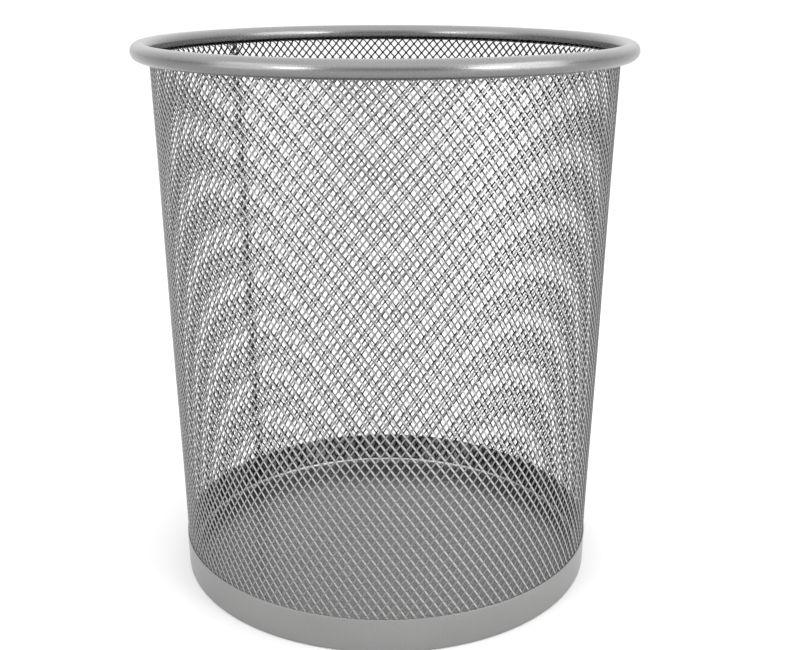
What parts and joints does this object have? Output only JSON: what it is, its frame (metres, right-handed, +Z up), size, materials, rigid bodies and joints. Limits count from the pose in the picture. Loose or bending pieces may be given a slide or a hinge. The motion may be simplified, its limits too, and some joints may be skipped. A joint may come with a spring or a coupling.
{
  "type": "wastebasket",
  "caption": "Round tapered office wastebasket of silver painted steel mesh, with a rolled tubular rim, a solid base band and a pressed solid floor.",
  "frame": {"origin": "centre of the base, on the floor", "axes": "+Z up along the basket's axis, the rim's joint near +X, the mesh's lapped seam between -X and +Y at 138 degrees"},
  "size_m": [0.295, 0.295, 0.3281],
  "materials": {
    "rim_paint": "satin silver paint",
    "mesh_paint": "satin silver paint",
    "band_paint": "satin silver paint",
    "pan_paint": "semi-gloss silver paint"
  },
  "bodies": {
    "root": {"rim_tube": "rim_paint", "rim_joint_weld": "rim_paint", "mesh_wall": "mesh_paint", "mesh_seam_welds": "mesh_paint", "base_band": "band_paint", "band_joint_weld": "band_paint", "floor_pan": "pan_paint"}
  },
  "joints": []
}
